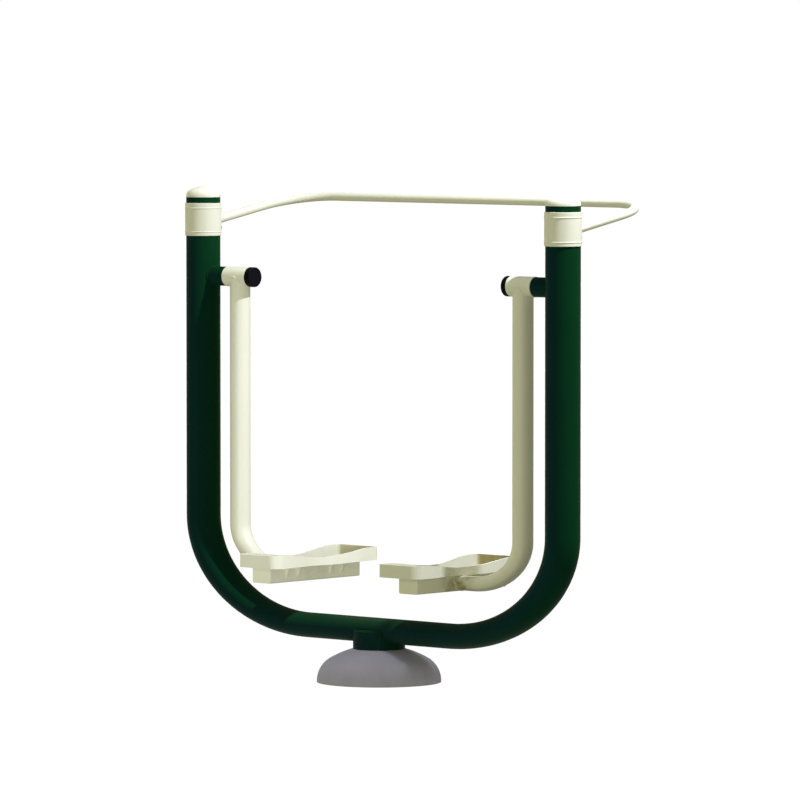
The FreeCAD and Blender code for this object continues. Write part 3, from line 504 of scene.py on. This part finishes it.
for side, label in ((-1, "left"), (1, "right")):
    weld_bead(f"stub_weld_{label}", stub_line(side), FRAME_BEAD, 26, "frame", green_paint)

# %% Beads of the legs under the hubs
hub_low, hub_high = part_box("hub_right")
hub_radius = (hub_high.z - hub_low.z) / 2
leg_low, leg_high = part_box("leg_tube_right")
leg_radius = (leg_high.y - leg_low.y) / 2
leg_x = leg_high.x - leg_radius


def hub_line(side):
    """The line where a leg runs up into the round of its hub."""
    def place(turn):
        outward = X_AXIS * math.cos(turn) + Y_AXIS * math.sin(turn)
        y = leg_radius * math.sin(turn)
        drop = math.sqrt(max(hub_radius ** 2 - y ** 2, 0))
        point = Vector((side * leg_x + leg_radius * math.cos(turn), y, pivot_z - drop))
        return point, outward, Z_AXIS
    return place


for side, label in ((-1, "left"), (1, "right")):
    weld_bead(f"hub_weld_{label}", hub_line(side), LEG_BEAD, 28, f"{label}_leg", cream_paint)

# %% Beads of the legs on the beams
LEG_END_HALF_HEIGHT = 0.019

leg_end_z = leg_low.z + LEG_END_HALF_HEIGHT


def beam_line(side):
    """The oval line where a leg's flattened end meets the side of its beam."""
    def place(turn):
        outward = Y_AXIS * math.cos(turn) + Z_AXIS * math.sin(turn)
        point = Vector((side * beam_high.x, leg_radius * math.cos(turn),
                        leg_end_z + LEG_END_HALF_HEIGHT * math.sin(turn)))
        return point, outward, X_AXIS
    return place


for side, label in ((-1, "left"), (1, "right")):
    weld_bead(f"beam_weld_{label}", beam_line(side), LEG_BEAD, 24, f"{label}_leg", cream_paint)

# %% [markdown]
# The neck of the foot is cut to fit the ground run up to half its height, where a flat
# ledge closes it. The bead follows the underside of the run between the ledges, and the
# run's side along them.

# %% Bead of the neck on the ground run
ledge_low, ledge_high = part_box("neck_ledges")
frame_low, frame_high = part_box("u_frame")
neck_radius = (ledge_high.y - ledge_low.y) / 2
run_width = frame_high.y
run_height = ledge_high.z - frame_low.z


def neck_line(turn):
    """The line round the neck that follows the underside of the ground run."""
    outward = X_AXIS * math.cos(turn) + Y_AXIS * math.sin(turn)
    y = max(-run_width, min(run_width, neck_radius * math.sin(turn)))
    depth = run_height * math.sqrt(max(1 - (y / run_width) ** 2, 0))
    return Vector((neck_radius * math.cos(turn), y, ledge_high.z - depth)), outward, Z_AXIS


weld_bead("neck_weld", neck_line, FRAME_BEAD, 60, "frame", green_paint)

# %% Beads of the handrail on the collars
RAIL_RADIUS = 0.011
RAIL_SLOPE = math.radians(10.3)
RAIL_END_Z = 1.163
COLLAR_RIM = 0.0009

collar_radius = (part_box("post_collar_right")[1].x - post_x) - COLLAR_RIM


def rail_line(side):
    """The line where a sloping end of the handrail meets its collar."""
    def place(turn):
        outward = X_AXIS * math.cos(turn) + Z_AXIS * math.sin(turn)
        x = RAIL_RADIUS * math.cos(turn)
        y = math.sqrt(collar_radius ** 2 - x ** 2)
        z = RAIL_END_Z + RAIL_RADIUS / math.cos(RAIL_SLOPE) * math.sin(turn)
        return Vector((side * post_x + x, y, z)), outward, Y_AXIS
    return place


for side, label in ((-1, "left"), (1, "right")):
    weld_bead(f"rail_weld_{label}", rail_line(side), RAIL_BEAD, 14, "frame", cream_paint)

# %% [markdown]
# ## Floor and light
# A plain pale floor fades into a white backdrop. The undersides of the machine are nearly
# as light as its sides, so the floor glows a little, and the camera sees it white.
# The key lamp hangs high on the right and is small, which gives the round tubes their
# lit side. A second lamp near it lights the trays, where the post throws its shadow. One
# overhead whitens the caps, a narrow one low in front on the right brightens the left leg
# and its tray, and a blue one in front cools the green's shade. Four weak side lamps fill
# the shade of the cream.

# %% Floor
FLOOR_SIZE = 400.0
FLOOR_Z = -0.0005

bpy.ops.mesh.primitive_plane_add(size=FLOOR_SIZE, location=(0, 0, FLOOR_Z))
floor = bpy.context.object
floor.name = "floor"
floor_paint, shader, where = new_material("studio floor", Roughness=0.9, Specular_IOR_Level=0.0,
                                         Emission_Strength=1.0)
tone = add_effect(floor_paint, where, drift_group, Scale=0.6, Contrast=1.0)
pale = mix_colours(floor_paint, tone, (0.10, 0.10, 0.105), (0.12, 0.12, 0.12))
ray_kind = floor_paint.node_tree.nodes.new("ShaderNodeLightPath").outputs["Is Camera Ray"]
seen = mix_colours(floor_paint, ray_kind, (0.0, 0.0, 0.0), pale)
set_colour(floor_paint, shader, seen)
glow = mix_colours(floor_paint, ray_kind, (0.30, 0.30, 0.24), (1.0, 1.0, 1.0))
floor_paint.node_tree.links.new(glow, shader.inputs["Emission Color"])
floor.data.materials.append(floor_paint)
floor.visible_shadow = False
print("staged", floor.name)

# %% Lamps
def studio_lamp(name, kind, place, target, energy, colour, **settings):
    """A lamp at a place that shines towards a target."""
    data = bpy.data.lights.new(name, kind)
    data.energy = energy
    data.color = colour
    for label, value in settings.items():
        setattr(data, label, value)
    lamp = bpy.data.objects.new(name, data)
    lamp.location = place
    lamp.rotation_mode = "QUATERNION"
    lamp.rotation_quaternion = (Vector(place) - Vector(target)).to_track_quat("Z", "Y")
    bpy.context.scene.collection.objects.link(lamp)
    return lamp


BASE = (0, 0, 0)
LEFT_LEG = (-0.42, 0, 0.5)
COOL_WHITE = (0.76, 0.79, 1.0)
PALE_BLUE = (0.80, 0.80, 1.0)
DEEP_BLUE = (0.40, 0.08, 1.0)
DAYLIGHT = (0.9, 0.9, 1.0)
WARM_WHITE = (0.97, 0.97, 0.78)
SIDE_STRENGTHS = (0.85, 0.5, 1.15, 1.2)
SIDE_DISTANCE = 5

key_lamp = studio_lamp("key", "POINT", (2.0, 0.33, 3.7), BASE, 640, COOL_WHITE,
                       shadow_soft_size=0.05)
tray_lamp = studio_lamp("tray lamp", "POINT", (1.75, 0.06, 4.0), BASE, 900, COOL_WHITE,
                        shadow_soft_size=0.05)
leg_lamp = studio_lamp("leg lamp", "SPOT", (1.35, -2.1, 0.15), LEFT_LEG, 95, PALE_BLUE,
                       spot_size=math.radians(30), spot_blend=0.8, shadow_soft_size=0.2)
blue_lamp = studio_lamp("blue lamp", "SUN", (-0.5, -4, -1), BASE, 2.6, DEEP_BLUE,
                        angle=math.radians(110))
blue_lamp.visible_glossy = False
overhead_lamp = studio_lamp("overhead", "SUN", (0, 0, 5), BASE, 0.75, DAYLIGHT,
                            angle=math.radians(20))
side_lamps = []
for quarter, strength in enumerate(SIDE_STRENGTHS):
    turn = math.radians(90 * quarter)
    place = (SIDE_DISTANCE * math.cos(turn), SIDE_DISTANCE * math.sin(turn), -1)
    side_lamps.append(studio_lamp(f"side lamp {quarter}", "SUN", place, BASE, strength,
                                  WARM_WHITE, angle=math.radians(100)))
print("lamps", len(bpy.data.lights))

# %% [markdown]
# One light can't give this look: the cream is far lighter in its shade than the green,
# the dome has no lit side, and the left leg is lighter than the right one. So each group
# of pieces has its own lamps, and light linking names the pieces that a lamp reaches.

# %% Which lamp reaches which pieces
def reach(lamp, pieces):
    """Let a lamp light these pieces and no others."""
    group = bpy.data.collections.new(lamp.name + " pieces")
    for piece in pieces:
        group.objects.link(piece)
    lamp.light_linking.receiver_collection = group


finish_of = {piece: piece.data.materials[0] for piece in list(nodes.values()) + beads}
green = [piece for piece in finish_of if finish_of[piece] == green_paint]
pale = [piece for piece in finish_of if finish_of[piece] not in (green_paint, black_plastic)]
treads = [piece for piece in pale if piece.name.startswith(("foot_tray", "pedal_beam", "beam_"))]
left_leg = [piece for piece in pale if piece.name.endswith("_left")
            and (piece in treads or piece.name.startswith(("hub", "leg")))]
others = [piece for piece in finish_of if piece not in treads and finish_of[piece] != grey_plastic]
reach(key_lamp, others)
reach(tray_lamp, [piece for piece in treads if piece.name.startswith("foot_tray")])
reach(leg_lamp, left_leg)
reach(blue_lamp, green)
for lamp in side_lamps + [overhead_lamp]:
    reach(lamp, pale)

# %% Backdrop
world = bpy.data.worlds.new("studio")
bpy.context.scene.world = world
world.use_nodes = True
sky = world.node_tree.nodes["Background"]
ray_kind = world.node_tree.nodes.new("ShaderNodeLightPath").outputs["Is Camera Ray"]
backdrop = mix_colours(world, ray_kind, (0.12, 0.12, 0.09), (1.0, 1.0, 1.0))
world.node_tree.links.new(backdrop, sky.inputs["Color"])
bpy.context.scene.view_settings.view_transform = "Standard"
print("backdrop", world.name)
